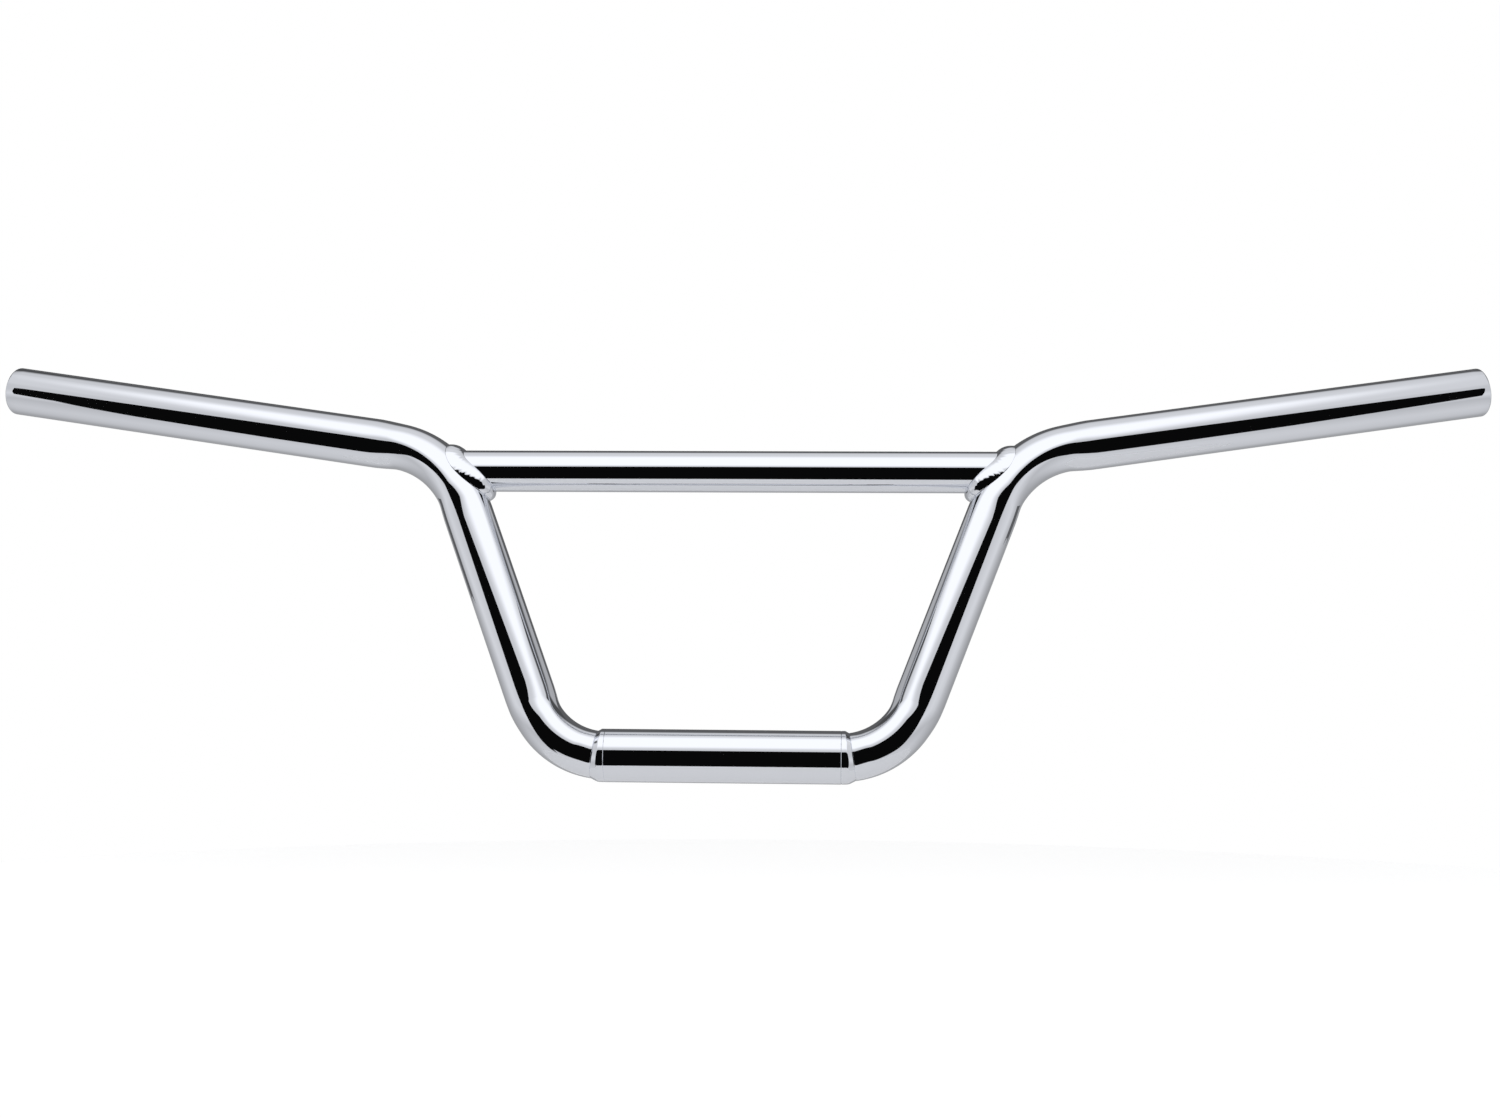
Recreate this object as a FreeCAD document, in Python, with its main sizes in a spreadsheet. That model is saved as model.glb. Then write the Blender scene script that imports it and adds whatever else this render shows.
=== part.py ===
import FreeCAD, Part
import math
import os

# Chromed steel motorcycle handlebar: a straight clamp tube, two bent side tubes welded to its
# ends, and a crossbar coped and welded between their upper bends.
# The origin is the middle of the clamp tube. X runs along it towards the rider's left hand,
# Y points back to the rider and Z is up. Left and right are the rider's.

doc = FreeCAD.newDocument("handlebar")
dims = doc.addObject("Spreadsheet::Sheet", "dims")

# Lengths in millimetres, angles in degrees
SIZES = [
    ("tube_diameter", 22.2),
    ("tube_wall", 2.0),
    ("end_rounding", 0.9),
    ("clamp_diameter", 23.0),
    ("clamp_length", 101.6),
    ("lower_bend_radius", 35.0),
    ("lower_bend_angle", 69.0),
    ("arm_straight", 96.0),
    ("arm_lean_angle", 15.0),
    ("bend_twist_angle", 11.0),
    ("upper_bend_radius", 46.0),
    ("upper_bend_angle", 58.5),
    ("grip_straight", 197.0),
    ("seam_weld_width", 4.8),
    ("seam_weld_toe", 0.1),
    ("crossbar_diameter", 18.5),
    ("crossbar_wall", 1.5),
    ("crossbar_bend_angle", 24.2),
    ("crossbar_weld_leg", 4.2),
    ("crossbar_weld_crown", 0.5),
    ("crossbar_weld_ripple", 2.0),
]
for row, (alias, size) in enumerate(SIZES, start=1):
    dims.set("A%d" % row, alias)
    dims.set("B%d" % row, str(size))
    dims.setAlias("B%d" % row, alias)
doc.recompute()


def bind(obj, **expressions):
    for prop, expression in expressions.items():
        obj.setExpression(prop, expression)
    return obj


def turn(axis, angle):
    return "placement(vector(0; 0; 0); rotation(vector(%s); %s))" % (axis, angle)


def shift(x, y, z):
    return "placement(vector(%s; %s; %s); rotation(vector(0; 0; 1); 0))" % (x, y, z)


def on_bend(start, radius, angle):
    # Frame on a bend's centreline, with X along the tube and Y towards the bend's centre
    return "%s * %s * %s * %s" % (
        start, shift("0", radius, "0"), turn("0; 0; 1", angle), shift("0", "-1 * " + radius, "0"))


# Each frame stands on the centreline of the left side tube, in the plane of the two arms
def frame(name, placement):
    return bind(doc.addObject("Part::Plane", name), Placement=placement)


lower_start = frame("lower_start", shift("dims.clamp_length / 2", "0", "0") + " * " + turn("1; 0; 0", "90"))
lower_end = frame("lower_end", on_bend(
    "lower_start.Placement", "dims.lower_bend_radius", "dims.lower_bend_angle"))
upper_start = frame("upper_start", "lower_end.Placement * " + shift("dims.arm_straight", "0", "0")
                    + " * " + turn("1; 0; 0", "180 + dims.bend_twist_angle"))
upper_end = frame("upper_end", on_bend(
    "upper_start.Placement", "dims.upper_bend_radius", "dims.upper_bend_angle"))
grip_end = frame("grip_end", "upper_end.Placement * " + shift("dims.grip_straight", "0", "0"))
crossbar_seat = frame("crossbar_seat", on_bend(
    "upper_start.Placement", "dims.upper_bend_radius", "dims.crossbar_bend_angle"))
doc.recompute()


def bent_rod(name, start, bend, angle, radius):
    rod = doc.addObject("Part::Torus", name)
    return bind(rod, Radius1=bend, Radius2=radius, Angle3=angle,
                Placement=start + " * " + shift("0", bend, "0") + " * " + turn("0; 0; 1", "-90"))


def straight_rod(name, start, length, radius):
    rod = doc.addObject("Part::Cylinder", name)
    return bind(rod, Radius=radius, Height=length, Placement=start + " * " + turn("0; 1; 0", "90"))


def fuse(name, shapes):
    body = doc.addObject("Part::MultiFuse", name)
    body.Shapes = shapes
    return body


def cut(name, base, tool):
    body = doc.addObject("Part::Cut", name)
    body.Base = base
    body.Tool = tool
    return body


def side_rod(name, radius):
    return fuse(name, [
        bent_rod(name + "_lower_bend", "lower_start.Placement",
                 "dims.lower_bend_radius", "dims.lower_bend_angle", radius),
        straight_rod(name + "_arm", "lower_end.Placement", "dims.arm_straight", radius),
        bent_rod(name + "_upper_bend", "upper_start.Placement",
                 "dims.upper_bend_radius", "dims.upper_bend_angle", radius),
        straight_rod(name + "_grip", "upper_end.Placement", "dims.grip_straight", radius),
    ])


SAME_PLACE = 0.01


def edges_where(shape, test):
    return [i for i, edge in enumerate(shape.Edges, start=1) if test(edge)]


# The finished pieces lean back with the arms, and the right ones mirror the left ones
def finish(body, label):
    bind(body, Placement=turn("1; 0; 0", "-1 * dims.arm_lean_angle"))
    body.Label = label
    return body


def finish_mirror(source, label):
    body = doc.addObject("Part::Mirroring", label)
    body.Source = source
    body.Normal = FreeCAD.Vector(1, 0, 0)
    body.Label = label
    return body


# Clamp tube: the straight middle that the stem's clamps grip
TUBE_RADIUS = "dims.tube_diameter / 2"
BORE_RADIUS = "(dims.tube_diameter / 2 - dims.tube_wall)"
CLAMP_RADIUS = "dims.clamp_diameter / 2"
clamp_start = frame("clamp_start", shift("-1 * dims.clamp_length / 2", "0", "0"))
clamp_skin = straight_rod("clamp_skin", "clamp_start.Placement", "dims.clamp_length", CLAMP_RADIUS)
clamp_bore = straight_rod("clamp_bore", "clamp_start.Placement", "dims.clamp_length", BORE_RADIUS)
clamp_tube = finish(cut("clamp_pipe", clamp_skin, clamp_bore), "clamp_tube")

# Side tubes: two bends in different planes, butted on the clamp tube and open at the grip end
side_skin = side_rod("side_skin", TUBE_RADIUS)
side_bore = side_rod("side_bore", BORE_RADIUS)
side_pipe = cut("side_pipe", side_skin, side_bore)
doc.recompute()


def is_grip_rim(edge):
    # The outer rim of the open end, which is the one that gets rounded
    if edge.Curve.TypeId != "Part::GeomCircle":
        return False
    on_end = (edge.Curve.Center - grip_end.Placement.Base).Length < SAME_PLACE
    return on_end and abs(edge.Curve.Radius - dims.tube_diameter / 2) < SAME_PLACE


side_round = doc.addObject("Part::Fillet", "side_round")
side_round.Base = side_pipe
side_round.Edges = [
    (i, dims.end_rounding, dims.end_rounding) for i in edges_where(side_pipe.Shape, is_grip_rim)]
side_tube_left = finish(side_round, "side_tube_left")
side_tube_right = finish_mirror(side_tube_left, "side_tube_right")

# Seam welds: a smooth collar from the clamp tube's rim down to the start of the lower bend
seam_toe = frame("seam_toe", on_bend(
    "lower_start.Placement", "dims.lower_bend_radius",
    "(dims.seam_weld_width / dims.lower_bend_radius * 180 / pi)"))


def collar_ring(name, start, radius):
    ring = doc.addObject("Part::Circle", name)
    return bind(ring, Radius=radius, Placement=start + " * " + turn("0; 1; 0", "90"))


seam_collar = doc.addObject("Part::Loft", "seam_collar")
seam_collar.Sections = [
    collar_ring("seam_rim_ring", "lower_start.Placement", CLAMP_RADIUS),
    collar_ring("seam_toe_ring", "seam_toe.Placement", TUBE_RADIUS + " + dims.seam_weld_toe"),
]
seam_collar.Solid = True
seam_collar.Ruled = True
seam_weld_left = finish(cut("seam_ring", seam_collar, side_skin), "seam_weld_left")
seam_weld_right = finish_mirror(seam_weld_left, "seam_weld_right")

# Crossbar: a thinner tube, coped at both ends to sit on the side tubes' upper bends
crossbar_start = frame("crossbar_start", shift(
    "-1 * crossbar_seat.Placement.Base.x", "crossbar_seat.Placement.Base.y",
    "crossbar_seat.Placement.Base.z"))
CROSSBAR_RADIUS = "dims.crossbar_diameter / 2"
CROSSBAR_LENGTH = "2 * crossbar_seat.Placement.Base.x"
crossbar_skin = straight_rod(
    "crossbar_skin", "crossbar_start.Placement", CROSSBAR_LENGTH, CROSSBAR_RADIUS)
crossbar_bore = straight_rod(
    "crossbar_bore", "crossbar_start.Placement", CROSSBAR_LENGTH,
    CROSSBAR_RADIUS + " - dims.crossbar_wall")
crossbar_pipe = cut("crossbar_pipe", crossbar_skin, crossbar_bore)
side_skins = fuse("side_skins", [side_skin, finish_mirror(side_skin, "side_skin_right")])
crossbar = finish(cut("crossbar_coped", crossbar_pipe, side_skins), "crossbar")
doc.recompute()

# Crossbar welds: a rippled bead around each coped end, with one facet to a ripple, laid in the
# corner between the two tubes
crossbar_core = fuse("crossbar_core", [side_skin, crossbar_skin])
doc.recompute()


def is_saddle(edge):
    # The closed curve where the crossbar's skin meets the side tube's skin
    if edge.Curve.TypeId == "Part::GeomLine":
        return False
    seat = crossbar_seat.Placement.Base
    for point in edge.discretize(7):
        away = ((point.y - seat.y) ** 2 + (point.z - seat.z) ** 2) ** 0.5
        if point.x < 0 or abs(away - dims.crossbar_diameter / 2) > SAME_PLACE:
            return False
    return True


def side_axis_point(point):
    # The nearest point of the side tube's centreline, on the arm or on the upper bend
    local = upper_start.Placement.inverse().multVec(point)
    bend = dims.upper_bend_radius
    if local.x < 0:
        nearest = FreeCAD.Vector(local.x, 0, 0)
    else:
        angle = math.atan2(local.x, bend - local.y)
        nearest = FreeCAD.Vector(bend * math.sin(angle), bend * (1 - math.cos(angle)), 0)
    return upper_start.Placement.multVec(nearest)


def crossbar_axis_point(point):
    return FreeCAD.Vector(point.x, crossbar_seat.Placement.Base.y, crossbar_seat.Placement.Base.z)


def unit(vector):
    return FreeCAD.Vector(vector).normalize()


def bead_section(corner, along):
    # A kite square to the saddle: its toes dip under both skins and its root lies inside the metal
    side_up = unit(corner - side_axis_point(corner))
    bar_up = unit(corner - crossbar_axis_point(corner))
    side_way = unit(along.cross(side_up))
    bar_way = unit(along.cross(bar_up))
    if side_way.dot(bar_up) < 0:
        side_way = -side_way
    if bar_way.dot(side_up) < 0:
        bar_way = -bar_way
    leg = dims.crossbar_weld_leg
    side_foot = side_axis_point(corner + side_way * leg)
    side_toe = side_foot + unit(corner + side_way * leg - side_foot) * (dims.tube_diameter / 2)
    bar_foot = crossbar_axis_point(corner + bar_way * leg)
    bar_toe = bar_foot + unit(corner + bar_way * leg - bar_foot) * (dims.crossbar_diameter / 2)
    outward = unit(side_up + bar_up)
    crest = (side_toe + bar_toe) * 0.5 + outward * dims.crossbar_weld_crown
    root = corner - outward * dims.crossbar_wall
    dip = dims.crossbar_weld_crown
    side_toe = side_toe - unit(side_toe - side_foot) * dip
    bar_toe = bar_toe - unit(bar_toe - bar_foot) * dip
    return Part.makePolygon([root, side_toe, crest, bar_toe, root])


saddle = Part.Wire(Part.__sortEdges__(
    [crossbar_core.Shape.Edges[i - 1] for i in edges_where(crossbar_core.Shape, is_saddle)]))
ripples = round(saddle.Length / dims.crossbar_weld_ripple)
corners = saddle.discretize(Number=ripples + 1)[:-1]
sections = [
    bead_section(corners[i], unit(corners[(i + 1) % ripples] - corners[i - 1])) for i in range(ripples)]
crossbar_filler = doc.addObject("Part::Feature", "crossbar_filler")
crossbar_filler.Shape = Part.makeLoft(sections, True, True, True)
crossbar_weld_left = finish(cut("crossbar_bead", crossbar_filler, crossbar_core), "crossbar_weld_left")
crossbar_weld_right = finish_mirror(crossbar_weld_left, "crossbar_weld_right")
doc.recompute()

PIECES = [
    clamp_tube, side_tube_left, side_tube_right, seam_weld_left, seam_weld_right,
    crossbar, crossbar_weld_left, crossbar_weld_right,
]
failed = [obj.Label for obj in doc.Objects if "Invalid" in obj.State or "Error" in obj.State]
if failed:
    raise RuntimeError("features that failed: " + ", ".join(failed))
for piece in PIECES:
    if piece.Shape.isNull() or not piece.Shape.isValid() or len(piece.Shape.Solids) != 1:
        raise RuntimeError("not one valid solid: " + piece.Label)

os.makedirs("parts", exist_ok=True)
for piece in PIECES:
    piece.Shape.exportStep("parts/%s.step" % piece.Label)
    print("%s %.1f mm3" % (piece.Label, piece.Shape.Volume))
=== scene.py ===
import math

import bpy
from mathutils import Matrix, Vector
from mathutils.bvhtree import BVHTree


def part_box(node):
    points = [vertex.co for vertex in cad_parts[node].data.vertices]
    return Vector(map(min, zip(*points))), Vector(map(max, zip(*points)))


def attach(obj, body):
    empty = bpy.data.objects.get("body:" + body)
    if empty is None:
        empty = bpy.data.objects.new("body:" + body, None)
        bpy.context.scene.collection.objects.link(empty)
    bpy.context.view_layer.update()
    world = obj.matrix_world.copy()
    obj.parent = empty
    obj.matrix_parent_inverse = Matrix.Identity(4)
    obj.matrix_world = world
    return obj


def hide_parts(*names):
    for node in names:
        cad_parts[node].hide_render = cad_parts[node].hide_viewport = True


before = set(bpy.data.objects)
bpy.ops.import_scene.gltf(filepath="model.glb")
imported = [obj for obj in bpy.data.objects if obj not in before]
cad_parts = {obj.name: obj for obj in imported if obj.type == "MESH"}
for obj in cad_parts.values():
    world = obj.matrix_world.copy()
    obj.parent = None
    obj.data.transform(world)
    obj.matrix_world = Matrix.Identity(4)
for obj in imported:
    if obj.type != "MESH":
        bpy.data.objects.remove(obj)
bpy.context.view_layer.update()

# Side tubes: drawn steel tube, bent twice on a former, so each bend is a little flat in its own
# plane. They are butted on the clamp tube, polished and chromed, and their grip ends are open.
TUBE_RADIUS = 0.0111
TUBE_WALL = 0.0020
TUBE_SIDES = 192
LOWER_BEND_RADIUS = 0.035
LOWER_BEND_ANGLE = math.radians(69)
ARM_STRAIGHT = 0.096
ARM_LEAN = math.radians(15)
BEND_TWIST = math.radians(11)
UPPER_BEND_RADIUS = 0.046
UPPER_BEND_ANGLE = math.radians(58.5)
GRIP_STRAIGHT = 0.197
BEND_FLATTENING = 0.065
BEND_WIDENING = 0.045
ARM_FLAT_LEAD = 0.004
GRIP_FLAT_LEAD = 0.009
FLAT_RAMP = 0.013
BEND_STEP = math.radians(1.5)
STRAIGHT_STEP = 0.004
END_ROUNDING = 0.0009
END_TURNS = (0, 15, 30, 45, 60, 75, 90)
BORE_CHAMFER = 0.0003
CHAMFER_SHARE = 1 / 3
RIM_STEP = 0.00002
SPIGOT_RADIUS = 0.00995
SPIGOT_LENGTH = 0.0050
TOE_ROUNDING = 0.00015
TOE_TURNS = (0, 22.5, 45, 67.5)
NECK_DEPTH = 0.0005
NECK_LENGTH = 0.008
SHARP_ANGLE = math.radians(35)
MERGE_DISTANCE = 0.000001
CHROME_TINT = (0.828, 0.846, 0.893)
HAZE_SCALE = 90
HAZE_LOW, HAZE_HIGH = 0.35, 0.7
BUFFING_SCALE = 70
STEEL_DARK, STEEL_PALE = (0.10, 0.095, 0.09), (0.34, 0.33, 0.32)
STEEL_ROUGHNESS = 0.55
STREAK_SCALE = 260


def add_node(tree, kind, inputs=None, **settings):
    # Adds a node, with each input linked to a socket or set to a value
    made = tree.nodes.new(kind)
    for name, value in settings.items():
        setattr(made, name, value)
    for key, value in (inputs or {}).items():
        if isinstance(value, bpy.types.NodeSocket):
            tree.links.new(value, made.inputs[key])
        else:
            made.inputs[key].default_value = value
    return made


def reckoned(tree, operation, *values):
    return add_node(tree, "ShaderNodeMath", dict(enumerate(values)), operation=operation).outputs["Value"]


def vector_math(tree, operation, *values):
    return add_node(tree, "ShaderNodeVectorMath", dict(enumerate(values)), operation=operation).outputs


def scaled(tree, vector, factor):
    made = add_node(tree, "ShaderNodeVectorMath", {0: vector, "Scale": factor}, operation="SCALE")
    return made.outputs["Vector"]


def carried(tree, name, kind="FLOAT"):
    # A value that the points bring along
    made = add_node(tree, "GeometryNodeInputNamedAttribute", {"Name": name}, data_type=kind)
    return made.outputs["Attribute"]


def new_finish(name):
    finish = bpy.data.materials.new(name)
    finish.use_nodes = True
    return finish, finish.node_tree, finish.node_tree.nodes["Principled BSDF"]


def chrome_finish(name, smooth, dull, ripple):
    # Bright chrome plate: faint polishing haze in the roughness and a shallow buffing wave
    finish, tree, shader = new_finish(name)
    shader.inputs["Base Color"].default_value = (*CHROME_TINT, 1)
    shader.inputs["Metallic"].default_value = 1
    place = add_node(tree, "ShaderNodeTexCoord").outputs["Object"]
    haze = add_node(tree, "ShaderNodeTexNoise", {"Vector": place, "Scale": HAZE_SCALE, "Detail": 4})
    gloss = add_node(tree, "ShaderNodeMapRange", {
        "Value": haze.outputs["Fac"], "From Min": HAZE_LOW, "From Max": HAZE_HIGH,
        "To Min": smooth, "To Max": dull})
    wave = add_node(tree, "ShaderNodeTexNoise", {"Vector": place, "Scale": BUFFING_SCALE, "Detail": 1})
    bump = add_node(tree, "ShaderNodeBump", {
        "Height": wave.outputs["Fac"], "Strength": 1, "Distance": ripple})
    tree.links.new(gloss.outputs["Result"], shader.inputs["Roughness"])
    tree.links.new(bump.outputs["Normal"], shader.inputs["Normal"])
    return finish


def bare_steel(name):
    # Unplated steel down the bore, with streaks from drawing the tube
    finish, tree, shader = new_finish(name)
    shader.inputs["Metallic"].default_value = 1
    shader.inputs["Roughness"].default_value = STEEL_ROUGHNESS
    place = add_node(tree, "ShaderNodeTexCoord").outputs["Object"]
    streak = add_node(tree, "ShaderNodeTexNoise", {"Vector": place, "Scale": STREAK_SCALE, "Detail": 6})
    shade = add_node(tree, "ShaderNodeValToRGB", {"Fac": streak.outputs["Fac"]})
    for stop, colour in zip(shade.color_ramp.elements, (STEEL_DARK, STEEL_PALE)):
        stop.color = (*colour, 1)
    tree.links.new(shade.outputs["Color"], shader.inputs["Base Color"])
    return finish


def new_tree(name, inputs, output):
    # An empty tree with named inputs and one geometry output
    tree = bpy.data.node_groups.new(name, "GeometryNodeTree")
    for socket, kind in inputs.items():
        tree.interface.new_socket(socket, in_out="INPUT", socket_type="NodeSocket" + kind)
    tree.interface.new_socket(output, in_out="OUTPUT", socket_type="NodeSocketGeometry")
    return tree, add_node(tree, "NodeGroupInput").outputs


def tube_tree():
    # Sweeps an open tube along a line of points that carry its radii and how flat it is
    tree, given = new_tree("tube_on_a_line", {
        "Line": "Geometry", "Sides": "Int", "Flattening": "Float", "Widening": "Float",
        "Rim Angle": "Float", "Skin Finish": "Material", "Bore Finish": "Material"}, "Tube")
    line = add_node(tree, "GeometryNodeMeshToCurve", {"Mesh": given["Line"]})
    ring = add_node(tree, "GeometryNodeCurvePrimitiveCircle", {"Resolution": given["Sides"], "Radius": 1})
    place = add_node(tree, "GeometryNodeInputPosition").outputs["Position"]
    kept = add_node(tree, "GeometryNodeStoreNamedAttribute", {
        "Geometry": line.outputs["Curve"], "Name": "centre", "Value": place},
        data_type="FLOAT_VECTOR", domain="POINT")
    inward, flat = carried(tree, "inward", "FLOAT_VECTOR"), carried(tree, "flat")
    spoke = vector_math(tree, "SUBTRACT", place, carried(tree, "centre", "FLOAT_VECTOR"))["Vector"]
    in_plane = scaled(tree, inward, vector_math(tree, "DOT_PRODUCT", spoke, inward)["Value"])
    off_plane = vector_math(tree, "SUBTRACT", spoke, in_plane)["Vector"]
    press = scaled(tree, in_plane, reckoned(tree, "MULTIPLY", flat, given["Flattening"]))
    spread = scaled(tree, off_plane, reckoned(tree, "MULTIPLY", flat, given["Widening"]))
    shove = vector_math(tree, "SUBTRACT", spread, press)["Vector"]
    walls = add_node(tree, "GeometryNodeJoinGeometry")
    for radius, finish in (("skin_radius", "Skin Finish"), ("bore_radius", "Bore Finish")):
        wall = add_node(tree, "GeometryNodeCurveToMesh", {
            "Curve": kept.outputs["Geometry"], "Profile Curve": ring.outputs["Curve"],
            "Scale": carried(tree, radius)}).outputs["Mesh"]
        if radius == "bore_radius":
            wall = add_node(tree, "GeometryNodeFlipFaces", {"Mesh": wall}).outputs["Mesh"]
        pressed = add_node(tree, "GeometryNodeSetPosition", {"Geometry": wall, "Offset": shove})
        dressed = add_node(tree, "GeometryNodeSetMaterial", {
            "Geometry": pressed.outputs["Geometry"], "Material": given[finish]})
        tree.links.new(dressed.outputs["Geometry"], walls.inputs["Geometry"])
    closed = add_node(tree, "GeometryNodeMergeByDistance", {
        "Geometry": walls.outputs["Geometry"], "Distance": MERGE_DISTANCE})
    smooth = add_node(tree, "GeometryNodeSetShadeSmooth", {
        "Geometry": closed.outputs["Geometry"], "Shade Smooth": True}, domain="FACE")
    turn = add_node(tree, "GeometryNodeInputMeshEdgeAngle").outputs["Unsigned Angle"]
    rim = add_node(tree, "FunctionNodeCompare", {0: turn, 1: given["Rim Angle"]}, operation="GREATER_THAN")
    sharp = add_node(tree, "GeometryNodeSetShadeSmooth", {
        "Geometry": smooth.outputs["Geometry"], "Selection": rim.outputs["Result"], "Shade Smooth": False},
        domain="EDGE")
    real = add_node(tree, "GeometryNodeRealizeInstances", {"Geometry": sharp.outputs["Geometry"]})
    add_node(tree, "NodeGroupOutput", {"Tube": real.outputs["Geometry"]})
    return tree


def grown(name, seed_mesh, tree, values):
    # Runs a tree on a seed mesh and keeps the result as a plain mesh object at the origin
    seed = bpy.data.objects.new(name, seed_mesh)
    bpy.context.scene.collection.objects.link(seed)
    modifier = seed.modifiers.new(tree.name, "NODES")
    modifier.node_group = tree
    for socket in tree.interface.items_tree:
        if socket.in_out == "INPUT" and socket.name in values:
            modifier[socket.identifier] = values[socket.name]
    bpy.context.view_layer.update()
    made = bpy.data.meshes.new_from_object(seed.evaluated_get(bpy.context.evaluated_depsgraph_get()))
    seed.modifiers.clear()
    seed.data = made
    made.name = name
    return seed


def station(place, skin_radius, bore_radius, flat):
    # A point of a tube's line, with the radii, the direction to the bend's centre and the flatness there
    return {"centre": place.translation.copy(), "inward": place.col[1].to_3d(),
            "skin_radius": skin_radius, "bore_radius": bore_radius, "flat": flat}


def line_mesh(name, stations):
    # An open line through the stations, whose points carry the stations' values
    mesh = bpy.data.meshes.new(name + "_line")
    mesh.from_pydata([s["centre"] for s in stations], [(i, i + 1) for i in range(len(stations) - 1)], [])
    for key in ("skin_radius", "bore_radius", "flat"):
        mesh.attributes.new(key, "FLOAT", "POINT").data.foreach_set("value", [s[key] for s in stations])
    inward = mesh.attributes.new("inward", "FLOAT_VECTOR", "POINT")
    inward.data.foreach_set("vector", [x for s in stations for x in s["inward"]])
    return mesh


def mirrored(stations):
    # The same line on the other side of the bar's middle
    flip = Vector((-1, 1, 1))
    return [{**s, "centre": s["centre"] * flip, "inward": s["inward"] * flip} for s in stations]


def eased(share):
    # Goes from 0 to 1 with a soft start and end
    share = min(1.0, max(0.0, share))
    return share * share * (3 - 2 * share)


def along(way):
    # A step straight along a tube
    return Matrix.Translation((way, 0, 0))


def round_bend(start, radius, way):
    # A place on a bend that begins at start: X along the tube and Y towards the bend's centre
    across = Matrix.Translation((0, radius, 0))
    return start @ across @ Matrix.Rotation(way / radius, 4, "Z") @ across.inverted()


clamp_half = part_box("clamp_tube")[1].x
bore_radius = TUBE_RADIUS - TUBE_WALL
neck_radius = TUBE_RADIUS - NECK_DEPTH
pressed_radius = TUBE_RADIUS * (1 - BEND_FLATTENING)
lower_length = LOWER_BEND_RADIUS * LOWER_BEND_ANGLE
upper_length = UPPER_BEND_RADIUS * UPPER_BEND_ANGLE
to_upper_bend = Matrix.Rotation(math.pi + BEND_TWIST, 4, "X")
tube_start = along(clamp_half) @ Matrix.Rotation(math.pi / 2 - ARM_LEAN, 4, "X")
arm_start = round_bend(tube_start, LOWER_BEND_RADIUS, lower_length)
arm_end = arm_start @ along(ARM_STRAIGHT) @ to_upper_bend
grip_start = round_bend(arm_end, UPPER_BEND_RADIUS, upper_length)


def neck_flat(skin_radius):
    # How flat the narrow neck at the weld is, so that the bend stays equally thick in its own plane
    return (1 - pressed_radius / skin_radius) / BEND_FLATTENING


# The spigot under the seam weld, and the rounded toe where the neck comes out of it
side_stations = []
spigot_rim = (SPIGOT_RADIUS + bore_radius) / 2
for way, skin, bore in ((0, spigot_rim, spigot_rim), (RIM_STEP, SPIGOT_RADIUS, bore_radius),
                        (SPIGOT_LENGTH - RIM_STEP, SPIGOT_RADIUS, bore_radius)):
    side_stations.append(station(round_bend(tube_start, LOWER_BEND_RADIUS, way), skin, bore, 0))
for turn in TOE_TURNS:
    turn = math.radians(turn)
    place = round_bend(tube_start, LOWER_BEND_RADIUS, SPIGOT_LENGTH + TOE_ROUNDING * (1 - math.cos(turn)))
    skin = neck_radius - TOE_ROUNDING * (1 - math.sin(turn))
    side_stations.append(station(place, skin, bore_radius, neck_flat(neck_radius)))

# The lower bend, the arm, the upper bend and the grip
toe_end = SPIGOT_LENGTH + TOE_ROUNDING
bend_steps = round(LOWER_BEND_ANGLE / BEND_STEP)
for i in range(bend_steps + 1):
    way = toe_end + (lower_length - toe_end) * i / bend_steps
    skin = TUBE_RADIUS - NECK_DEPTH * (1 - eased((way - toe_end) / NECK_LENGTH))
    flat = min(neck_flat(skin), eased((lower_length - way + ARM_FLAT_LEAD) / FLAT_RAMP))
    place = round_bend(tube_start, LOWER_BEND_RADIUS, way)
    side_stations.append(station(place, skin, bore_radius, flat))
arm_steps = round(ARM_STRAIGHT / STRAIGHT_STEP)
for i in range(1, arm_steps):
    way = ARM_STRAIGHT * i / arm_steps
    left = ARM_STRAIGHT - way
    place = arm_start @ along(way)
    if way > left:
        place = place @ to_upper_bend
    flat = eased((ARM_FLAT_LEAD - min(way, left)) / FLAT_RAMP)
    side_stations.append(station(place, TUBE_RADIUS, bore_radius, flat))
bend_steps = round(UPPER_BEND_ANGLE / BEND_STEP)
for i in range(bend_steps + 1):
    way = upper_length * i / bend_steps
    flat = eased(min(way + ARM_FLAT_LEAD, upper_length - way + GRIP_FLAT_LEAD) / FLAT_RAMP)
    place = round_bend(arm_end, UPPER_BEND_RADIUS, way)
    side_stations.append(station(place, TUBE_RADIUS, bore_radius, flat))
grip_plain = GRIP_STRAIGHT - END_ROUNDING - RIM_STEP
grip_steps = round(grip_plain / STRAIGHT_STEP)
for i in range(1, grip_steps):
    way = grip_plain * i / grip_steps
    flat = eased((GRIP_FLAT_LEAD - way) / FLAT_RAMP)
    side_stations.append(station(grip_start @ along(way), TUBE_RADIUS, bore_radius, flat))

# The grip's rounded end. The bore's chamfer opens over the last share of the rounding's length
for turn in END_TURNS:
    turn = math.radians(turn)
    way = grip_plain + END_ROUNDING * math.sin(turn)
    skin = TUBE_RADIUS - END_ROUNDING * (1 - math.cos(turn))
    bore = bore_radius + BORE_CHAMFER * max(0, 1 - (1 - math.sin(turn)) / CHAMFER_SHARE)
    side_stations.append(station(grip_start @ along(way), skin, bore, 0))
grip_rim = (TUBE_RADIUS - END_ROUNDING + bore_radius + BORE_CHAMFER) / 2
side_stations.append(station(grip_start @ along(GRIP_STRAIGHT), grip_rim, grip_rim, 0))

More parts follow.
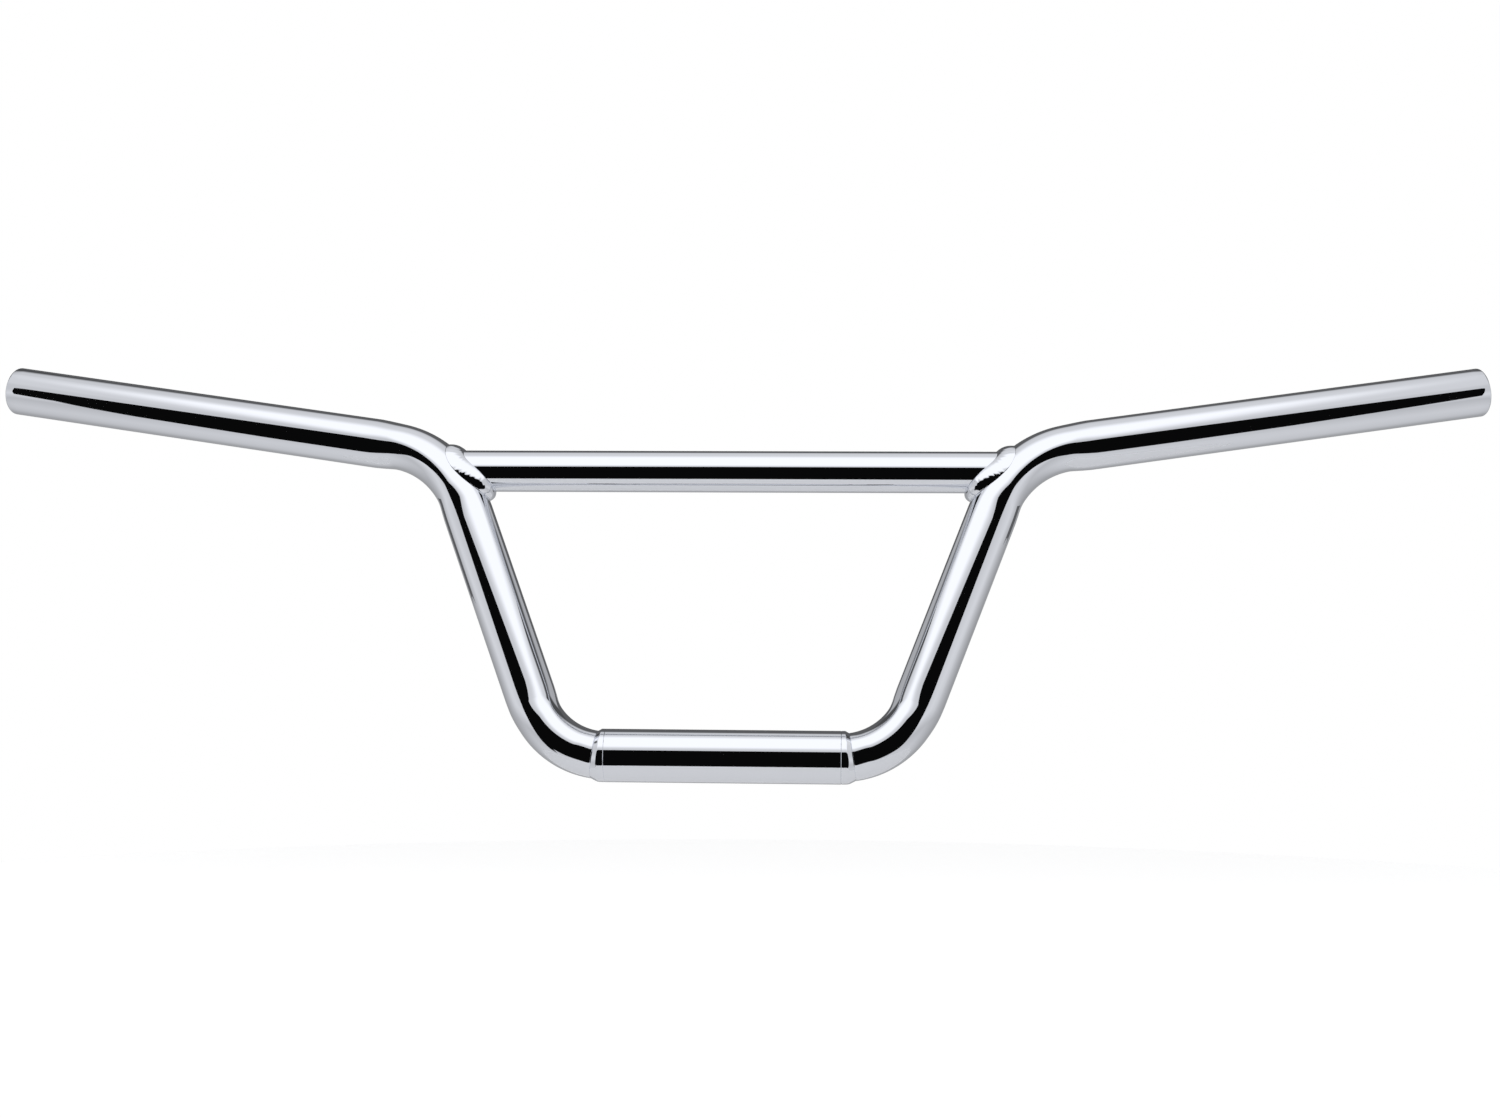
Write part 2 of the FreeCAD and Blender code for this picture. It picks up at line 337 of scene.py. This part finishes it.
chrome = chrome_finish("bright_chrome", smooth=0.012, dull=0.035, ripple=0.0000015)
bore_steel = bare_steel("bore_steel")
sweep = tube_tree()
sweep_sizes = {"Sides": TUBE_SIDES, "Flattening": BEND_FLATTENING, "Widening": BEND_WIDENING,
               "Rim Angle": SHARP_ANGLE, "Skin Finish": chrome, "Bore Finish": bore_steel}
side_tubes = {}
for side, stations in (("left", side_stations), ("right", mirrored(side_stations))):
    name = "side_tube_" + side
    tube = grown("bent_" + name, line_mesh(name, stations), sweep, sweep_sizes)
    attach(tube, "root")
    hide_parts(name)
    side_tubes[side] = tube

# Clamp tube: a straight piece of slightly thicker tube in the middle, which the stem's clamps
# grip. It is cut square, welded to the side tubes all round and chromed with them.
CLAMP_RADIUS = 0.0115
clamp_rim = (CLAMP_RADIUS + bore_radius) / 2
clamp_stations = []
for way, skin, bore in ((0, CLAMP_RADIUS, bore_radius), (clamp_half / 2, CLAMP_RADIUS, bore_radius),
                        (clamp_half - RIM_STEP, CLAMP_RADIUS, bore_radius),
                        (clamp_half, clamp_rim, clamp_rim)):
    clamp_stations.append(station(along(way), skin, bore, 0))
clamp_stations = mirrored(clamp_stations[:0:-1]) + clamp_stations
clamp = grown("straight_clamp_tube", line_mesh("clamp_tube", clamp_stations), sweep, sweep_sizes)
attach(clamp, "root")
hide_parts("clamp_tube")

# Seam welds: the butt welds at both ends of the clamp tube, ground to a smooth round shoulder
# that falls to the flatter bend and ends there in a fine crease. They are chromed with the bar.
SEAM_STEPS = 46
SEAM_SLOPE = 0.5
SEAM_FLAT = 0.0026
SEAM_EASE = 0.0003
SEAM_GROOVE = 0.0002
SEAM_GROOVE_WIDTH = 0.0003
SEAM_SINK = 0.00003
weld_chrome = chrome_finish("weld_chrome", smooth=0.015, dull=0.05, ripple=0.000003)
seam_stations = []
for i in range(SEAM_STEPS + 1):
    way = SPIGOT_LENGTH * i / SEAM_STEPS
    past = way - SEAM_FLAT
    skin = CLAMP_RADIUS - SEAM_SLOPE * (math.hypot(past, SEAM_EASE) + past) / 2
    skin -= SEAM_GROOVE * max(0, 1 - way / SEAM_GROOVE_WIDTH)
    place = round_bend(tube_start, LOWER_BEND_RADIUS, way)
    seam_stations.append(station(place, skin, SPIGOT_RADIUS - SEAM_SINK, 0))
for end in (0, -1):
    seam_stations[end]["bore_radius"] = seam_stations[end]["skin_radius"]
seam_sizes = {**sweep_sizes, "Skin Finish": weld_chrome, "Bore Finish": weld_chrome}
for side, stations in (("left", seam_stations), ("right", mirrored(seam_stations))):
    name = "seam_weld_" + side
    seam = grown("ground_" + name, line_mesh(name, stations), sweep, seam_sizes)
    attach(seam, "root")
    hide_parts(name)

# Crossbar: a thinner straight tube between the upper bends. Both ends are coped to sit on the
# side tubes' round skins, and a bead runs round each.
CROSSBAR_RADIUS = 0.00925
CROSSBAR_WALL = 0.0015
CROSSBAR_SIDES = 192
CROSSBAR_BEND_ANGLE = math.radians(24.2)
crossbar_seat = round_bend(arm_end, UPPER_BEND_RADIUS, UPPER_BEND_RADIUS * CROSSBAR_BEND_ANGLE).translation
side_skins = {side: BVHTree.FromObject(tube, bpy.context.evaluated_depsgraph_get())
              for side, tube in side_tubes.items()}


def bar_point(angle, radius):
    # A point round the crossbar's axis at mid-length: 0 is towards the rider and a quarter turn is up
    return Vector((0, crossbar_seat.y + radius * math.cos(angle),
                   crossbar_seat.z + radius * math.sin(angle)))


def coped(side, angle, radius):
    # Where a line along the crossbar's wall meets the side tube's skin
    way = Vector((1 if side == "left" else -1, 0, 0))
    return side_skins[side].ray_cast(bar_point(angle, radius), way)


def bar_ring(ring, i):
    # Rings 0, 1 and 2 are the skin's right end, middle and left end, and 3, 4 and 5 the bore's
    return ring * CROSSBAR_SIDES + i % CROSSBAR_SIDES


bar_verts, bar_faces, bar_finishes = [], [], []
for radius in (CROSSBAR_RADIUS, CROSSBAR_RADIUS - CROSSBAR_WALL):
    for end in ("right", None, "left"):
        for i in range(CROSSBAR_SIDES):
            angle = 2 * math.pi * i / CROSSBAR_SIDES
            bar_verts.append(bar_point(angle, radius) if end is None else coped(end, angle, radius)[0])
SKIN, BORE = 0, 1
bar_bands = ((0, 1, SKIN), (1, 2, SKIN), (2, 5, SKIN), (5, 4, BORE), (4, 3, BORE), (3, 0, SKIN))
for ring_a, ring_b, finish in bar_bands:
    for i in range(CROSSBAR_SIDES):
        bar_faces.append((bar_ring(ring_a, i), bar_ring(ring_a, i + 1),
                          bar_ring(ring_b, i + 1), bar_ring(ring_b, i)))
        bar_finishes.append(finish)
bar_mesh = bpy.data.meshes.new("coped_crossbar")
bar_mesh.from_pydata(bar_verts, [], bar_faces)
bar_mesh.shade_smooth()
bar_mesh.set_sharp_from_angle(angle=SHARP_ANGLE)
bar_mesh.materials.append(chrome)
bar_mesh.materials.append(bore_steel)
bar_mesh.polygons.foreach_set("material_index", bar_finishes)
crossbar = bpy.data.objects.new("coped_crossbar", bar_mesh)
bpy.context.scene.collection.objects.link(crossbar)
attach(crossbar, "root")
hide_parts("crossbar")

# Crossbar welds: the beads round the coped ends, laid by hand in short steps, so they are rippled
# and a little uneven at the toes. They are chromed with the bar.
BEAD_STATIONS = 360
BEAD_ACROSS = 14
BEAD_LEG = 0.0046
BEAD_CROWN = 0.0011
BEAD_SINK = 0.0002
RIPPLE_PITCH = 0.0019
RIPPLE_DEPTH = 0.00005
RIPPLE_ARCH = 0.0012
RIPPLE_SEED = 7.0
BEAD_UNEVENNESS = 0.0003
UNEVEN_SCALE = 170


def ripple_tree():
    # Lifts the bead along its outward direction in steps that arch across it
    tree, given = new_tree("weld_ripples", {
        "Bead": "Geometry", "Pitch": "Float", "Depth": "Float", "Arch": "Float", "Unevenness": "Float",
        "Seed": "Float", "Finish": "Material"}, "Rippled Bead")
    across = carried(tree, "across")
    place = add_node(tree, "GeometryNodeInputPosition").outputs["Position"]
    uneven = add_node(tree, "ShaderNodeTexNoise", {
        "Vector": place, "W": given["Seed"], "Scale": UNEVEN_SCALE, "Detail": 2}, noise_dimensions="4D")
    uneven = reckoned(tree, "SUBTRACT", uneven.outputs["Fac"], 0.5)
    bowed = reckoned(tree, "MULTIPLY", reckoned(tree, "MULTIPLY", across, across), given["Arch"])
    phase = reckoned(tree, "DIVIDE", reckoned(tree, "ADD", carried(tree, "along"), bowed), given["Pitch"])
    phase = reckoned(tree, "ADD", phase, uneven)
    step = reckoned(tree, "ABSOLUTE", reckoned(tree, "SINE", reckoned(tree, "MULTIPLY", phase, math.pi)))
    step = reckoned(tree, "SUBTRACT", step, 0.5)
    lift = reckoned(tree, "ADD", reckoned(tree, "MULTIPLY", step, given["Depth"]),
                    reckoned(tree, "MULTIPLY", uneven, given["Unevenness"]))
    lift = reckoned(tree, "MULTIPLY", lift, carried(tree, "body"))
    moved = add_node(tree, "GeometryNodeSetPosition", {
        "Geometry": given["Bead"], "Offset": scaled(tree, carried(tree, "outward", "FLOAT_VECTOR"), lift)})
    smooth = add_node(tree, "GeometryNodeSetShadeSmooth", {
        "Geometry": moved.outputs["Geometry"], "Shade Smooth": True}, domain="FACE")
    real = add_node(tree, "GeometryNodeRealizeInstances", {"Geometry": smooth.outputs["Geometry"]})
    dressed = add_node(tree, "GeometryNodeSetMaterial", {
        "Geometry": real.outputs["Geometry"], "Material": given["Finish"]})
    add_node(tree, "NodeGroupOutput", {"Rippled Bead": dressed.outputs["Geometry"]})
    return tree


def bead_mesh(name, side):
    # Rows of points from the toe on the side tube over the crown to the toe on the crossbar, and one
    # point below them in the joint
    saddle = [coped(side, 2 * math.pi * i / BEAD_STATIONS, CROSSBAR_RADIUS) for i in range(BEAD_STATIONS)]
    row = BEAD_ACROSS + 2
    points, outwards, along_bead = [], [], 0.0
    values = {"along": [], "across": [], "body": []}
    for i, (corner, side_up, _, _) in enumerate(saddle):
        angle = 2 * math.pi * i / BEAD_STATIONS
        run = saddle[(i + 1) % BEAD_STATIONS][0] - saddle[i - 1][0]
        bar_up = Vector((0, math.cos(angle), math.sin(angle)))
        side_way = run.cross(side_up).normalized()
        bar_way = run.cross(bar_up).normalized()
        side_way *= 1 if side_way.dot(bar_up) > 0 else -1
        bar_way *= 1 if bar_way.dot(side_up) > 0 else -1
        side_toe, toe_up, _, _ = side_skins[side].find_nearest(corner + side_way * BEAD_LEG)
        side_toe = side_toe - toe_up * BEAD_SINK
        bar_toe = corner + bar_way * BEAD_LEG
        bar_axis = Vector((bar_toe.x, crossbar_seat.y, crossbar_seat.z))
        bar_toe = bar_axis + (bar_toe - bar_axis).normalized() * (CROSSBAR_RADIUS - BEAD_SINK)
        outward = (side_up + bar_up).normalized()
        for k in range(BEAD_ACROSS + 1):
            across = 2 * k / BEAD_ACROSS - 1
            chord = side_toe.lerp(bar_toe, (across + 1) / 2)
            points.append(chord + outward * BEAD_CROWN * (1 - across ** 2))
            values["across"].append(across)
            values["body"].append(1 - across ** 4)
        points.append(corner - outward * CROSSBAR_WALL)
        values["across"].append(0)
        values["body"].append(0)
        values["along"] += [along_bead] * row
        outwards += [outward] * row
        along_bead += run.length / 2
    faces = []
    for i in range(BEAD_STATIONS):
        here, there = i * row, (i + 1) % BEAD_STATIONS * row
        for k in range(row):
            faces.append((here + k, here + (k + 1) % row, there + (k + 1) % row, there + k))
    if side == "right":
        faces = [face[::-1] for face in faces]
    mesh = bpy.data.meshes.new(name)
    mesh.from_pydata(points, [], faces)
    for key, numbers in values.items():
        mesh.attributes.new(key, "FLOAT", "POINT").data.foreach_set("value", numbers)
    outward = mesh.attributes.new("outward", "FLOAT_VECTOR", "POINT")
    outward.data.foreach_set("vector", [x for v in outwards for x in v])
    return mesh


ripples = ripple_tree()
for side in ("left", "right"):
    name = "crossbar_weld_" + side
    bead = grown("rippled_" + name, bead_mesh(name, side), ripples, {
        "Pitch": RIPPLE_PITCH, "Depth": RIPPLE_DEPTH, "Arch": RIPPLE_ARCH, "Unevenness": BEAD_UNEVENNESS,
        "Seed": RIPPLE_SEED, "Finish": weld_chrome})
    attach(bead, "root")
    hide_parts(name)

# Studio: the bar hangs over a pale floor in a tall white light tent, below a wide softbox. The tent
# has a dark strip and gaps behind the bar, and is open to a dark room behind the camera, which gives
# the chrome its black band. Heights on the tent are in degrees, each with the cloth's glow there.
FLOOR_DROP = 0.42
FLOOR_RADIUS = 2.6
FLOOR_ROUGHNESS = 0.8
TABLE_RADIUS = 0.55
TABLE_LIFT = 0.002
DISC_SIDES = 128
ROOM_COLOUR = (0.98, 0.985, 1.0)
OPENING_AWAY = 1.77
OPENING_EDGE = [(2.05, 1.0), (-2.2, 1.0), (-2.42, 0.2), (-2.44, -0.5), (-2.8, -1.5), (-2.82, -2.15),
                (-2.3, -2.2), (-2.0, -1.5), (1.9, -1.5), (2.05, -1.28)]
OPENING_GLOW = 0.003
GAP_ENDS = ((2.35, 0.95), (1.80, 1.80))
GAP_BOTTOM, GAP_TOP = -0.34, 0.42
GAP_GLOW = 0.12
SCREEN_AWAY = 2.0
SCREEN_HALF = 1.2
SCREEN_BOTTOM, SCREEN_TOP = 0.15, 2.2
SOFTBOX_ASIDE = -0.03
SOFTBOX_RISE = 0.5
SOFTBOX_DIM, SOFTBOX_BRIGHT = 0.76, 1.17
SOFTBOX_SIDE_DIM, SOFTBOX_SIDE_BRIGHT = 0.54, 0.36
SOFTBOX_FRONT_DIM, SOFTBOX_FRONT_BRIGHT = -0.68, -0.43
SOFTBOX_BACK_DIM, SOFTBOX_BACK_BRIGHT = 0.11, -0.05
TENT_RADIUS = 4.2
TENT_LOW, TENT_HIGH = -75, 89
TENT_SIDES, TENT_ROWS = 96, 48
TENT_WALL = [(-75, 0.72), (-45, 0.70), (-20, 0.57), (-3, 0.78), (12, 0.65), (28, 0.66), (36, 0.74),
             (60, 0.76)]
TENT_BACK = [(-75, 0.66), (-50, 0.60), (-33, 0.42), (-10, 0.36), (10, 0.42), (26, 0.48), (30.5, 0.08),
             (47, 0.08), (56, 0.66), (70, 0.76)]
FADE_START = -0.09
FADE_END_LOW, FADE_END_HIGH = 0.75, 0.01
FADE_LOW, FADE_HIGH = math.sin(math.radians(16)), math.sin(math.radians(27))


def shown(tree):
    # 1 where the camera looks, straight or by way of metal or glass, and 0 for light on matt surfaces
    ray = add_node(tree, "ShaderNodeLightPath").outputs
    looked_at = ray["Is Camera Ray"]
    for other in ("Is Glossy Ray", "Is Transmission Ray"):
        looked_at = reckoned(tree, "MAXIMUM", looked_at, ray[other])
    return looked_at


def floor_finish(name, white, shown_glow):
    # Matt white that takes shadows, with a little glow of its own where the camera or the metal sees it
    finish, tree, shader = new_finish(name)
    finish.cycles.emission_sampling = "NONE"
    shader.inputs["Base Color"].default_value = (white, white, white, 1)
    shader.inputs["Roughness"].default_value = FLOOR_ROUGHNESS
    glow = add_node(tree, "ShaderNodeEmission", {
        "Color": (1, 1, 1, 1), "Strength": reckoned(tree, "MULTIPLY", shown(tree), shown_glow)})
    both = add_node(tree, "ShaderNodeAddShader", {0: shader.outputs["BSDF"], 1: glow.outputs["Emission"]})
    tree.links.new(both.outputs["Shader"], tree.nodes["Material Output"].inputs["Surface"])
    return finish


def glowing(name, strength=1.0):
    # A finish that only glows, and the tree and glow that a cloth's brightness goes into
    finish, tree, shader = new_finish(name)
    finish.cycles.emission_sampling = "NONE"
    tree.nodes.remove(shader)
    glow = add_node(tree, "ShaderNodeEmission", {"Color": (*ROOM_COLOUR, 1), "Strength": strength})
    tree.links.new(glow.outputs["Emission"], tree.nodes["Material Output"].inputs["Surface"])
    return finish, tree, glow


def softbox_finish():
    # White cloth over lamps, bright in the middle and dimmer towards its edges
    finish, tree, glow = glowing("softbox_cloth")
    place = add_node(tree, "ShaderNodeTexCoord").outputs["Object"]
    place = add_node(tree, "ShaderNodeSeparateXYZ", {"Vector": place}).outputs
    bright = 1.0
    for way, dim, full in ((reckoned(tree, "ABSOLUTE", place["X"]), SOFTBOX_SIDE_DIM, SOFTBOX_SIDE_BRIGHT),
                           (place["Y"], SOFTBOX_FRONT_DIM, SOFTBOX_FRONT_BRIGHT),
                           (place["Y"], SOFTBOX_BACK_DIM, SOFTBOX_BACK_BRIGHT)):
        share = add_node(tree, "ShaderNodeMapRange", {
            "Value": way, "From Min": dim, "From Max": full}, interpolation_type="SMOOTHSTEP")
        bright = reckoned(tree, "MULTIPLY", share.outputs["Result"], bright)
    strength = add_node(tree, "ShaderNodeMapRange", {
        "Value": bright, "To Min": SOFTBOX_DIM, "To Max": SOFTBOX_BRIGHT})
    tree.links.new(strength.outputs["Result"], glow.inputs["Strength"])
    return finish


def tent_finish():
    # Lit cloth: one brightness by height for the walls and another for the back
    finish, tree, glow = glowing("tent_cloth")
    place = add_node(tree, "ShaderNodeTexCoord").outputs["Object"]
    way = vector_math(tree, "NORMALIZE", place)["Vector"]
    way = add_node(tree, "ShaderNodeSeparateXYZ", {"Vector": way}).outputs
    rise = add_node(tree, "ShaderNodeMapRange", {
        "Value": reckoned(tree, "ARCSINE", way["Z"]),
        "From Min": math.radians(TENT_LOW), "From Max": math.radians(TENT_HIGH)}).outputs["Result"]

    def by_height(steps):
        ramp = add_node(tree, "ShaderNodeValToRGB", {"Fac": rise})
        stops = ramp.color_ramp.elements
        while len(stops) < len(steps):
            stops.new(1)
        for stop, (height, glow_there) in zip(stops, steps):
            stop.position = (height - TENT_LOW) / (TENT_HIGH - TENT_LOW)
            stop.color = (glow_there, glow_there, glow_there, 1)
        return ramp.outputs["Color"]

    # Low down the walls fade slowly into the back, but its dark strip starts at once
    fade_end = add_node(tree, "ShaderNodeMapRange", {
        "Value": way["Z"], "From Min": FADE_LOW, "From Max": FADE_HIGH,
        "To Min": FADE_END_LOW, "To Max": FADE_END_HIGH}).outputs["Result"]
    behind = add_node(tree, "ShaderNodeMapRange", {
        "Value": way["Y"], "From Min": FADE_START, "From Max": fade_end}).outputs["Result"]
    strength = add_node(tree, "ShaderNodeMix", {
        "Factor": behind, "A": by_height(TENT_WALL), "B": by_height(TENT_BACK)}, data_type="FLOAT")
    tree.links.new(strength.outputs["Result"], glow.inputs["Strength"])
    return finish


def staged(name, verts, faces, finish, seen=False):
    # Stands something in the studio. Unless seen, only its light and its picture in the chrome show
    mesh = bpy.data.meshes.new(name)
    mesh.from_pydata(verts, [], faces)
    mesh.materials.append(finish)
    made = bpy.data.objects.new(name, mesh)
    bpy.context.scene.collection.objects.link(made)
    made.visible_camera = seen
    return made


def disc(radius, height):
    turns = [2 * math.pi * i / DISC_SIDES for i in range(DISC_SIDES)]
    return [(radius * math.cos(a), radius * math.sin(a), height) for a in turns], [tuple(range(DISC_SIDES))]


floor = staged("floor", *disc(FLOOR_RADIUS, -FLOOR_DROP),
               floor_finish("floor_white", white=0.6, shown_glow=0.76), seen=True)
floor.visible_glossy = False
table = staged("table", *disc(TABLE_RADIUS, TABLE_LIFT - FLOOR_DROP),
               floor_finish("table_white", white=0.86, shown_glow=0.24))
table.visible_diffuse = table.visible_shadow = False

PANEL = [(0, 1, 3, 2)]
opening = [(x, -OPENING_AWAY, z) for x, z in OPENING_EDGE]
staged("dark_opening", opening, [tuple(range(len(opening)))], glowing("opening_dark", OPENING_GLOW)[0])
gap_dim = glowing("gap_dim", GAP_GLOW)[0]
for side, way in (("left", 1), ("right", -1)):
    gap = [(way * x, y, z) for x, y in GAP_ENDS for z in (GAP_BOTTOM, GAP_TOP)]
    staged("back_gap_" + side, gap, PANEL, gap_dim)
screen = [(x, SCREEN_AWAY, z) for x in (-SCREEN_HALF, SCREEN_HALF) for z in (SCREEN_BOTTOM, SCREEN_TOP)]
staged("back_screen", screen, PANEL, gap_dim)
cloth = [(x, y, 0) for x in (-SOFTBOX_SIDE_DIM, SOFTBOX_SIDE_DIM)
         for y in (SOFTBOX_FRONT_DIM, SOFTBOX_BACK_DIM)]
softbox = staged("softbox", cloth, PANEL, softbox_finish())
softbox.location = (SOFTBOX_ASIDE, 0, SOFTBOX_RISE)

tent_verts, tent_faces = [], []
for i in range(TENT_SIDES):
    azimuth = 2 * math.pi * i / TENT_SIDES
    for k in range(TENT_ROWS + 1):
        rise = math.radians(TENT_LOW + (TENT_HIGH - TENT_LOW) * k / TENT_ROWS)
        tent_verts.append((TENT_RADIUS * math.cos(azimuth) * math.cos(rise),
                           TENT_RADIUS * math.sin(azimuth) * math.cos(rise), TENT_RADIUS * math.sin(rise)))
        here, there = i * (TENT_ROWS + 1) + k, (i + 1) % TENT_SIDES * (TENT_ROWS + 1) + k
        if k < TENT_ROWS:
            tent_faces.append((here, here + 1, there + 1, there))
staged("tent", tent_verts, tent_faces, tent_finish())

# Room and camera: beyond the tent the room is white wherever the camera or the chrome looks. The
# camera stands a little to the right of the bar's middle, level with its arms, as in the photograph.
CAMERA_LENS = 50.4
CAMERA_SENSOR = 36
CAMERA_PLACE = (0.05868, -0.90269, 0.09788)
CAMERA_TURN = (89.215, -0.2494, 3.014)
world = bpy.data.worlds.new("white_room")
bpy.context.scene.world = world
world.use_nodes = True
room = world.node_tree
room_light = room.nodes["Background"]
room_light.inputs["Color"].default_value = (*ROOM_COLOUR, 1)
white = add_node(room, "ShaderNodeBackground", {"Color": (1, 1, 1, 1), "Strength": 1})
either = add_node(room, "ShaderNodeMixShader", {
    "Fac": shown(room), 1: room_light.outputs["Background"], 2: white.outputs["Background"]})
room.links.new(either.outputs["Shader"], room.nodes["World Output"].inputs["Surface"])

bpy.context.scene.view_settings.view_transform = "Standard"
lens = bpy.data.cameras.new("camera")
lens.sensor_width = CAMERA_SENSOR
lens.lens = CAMERA_LENS
camera = bpy.data.objects.new("camera", lens)
camera.location = CAMERA_PLACE
camera.rotation_euler = [math.radians(a) for a in CAMERA_TURN]
bpy.context.scene.collection.objects.link(camera)
bpy.context.scene.camera = camera
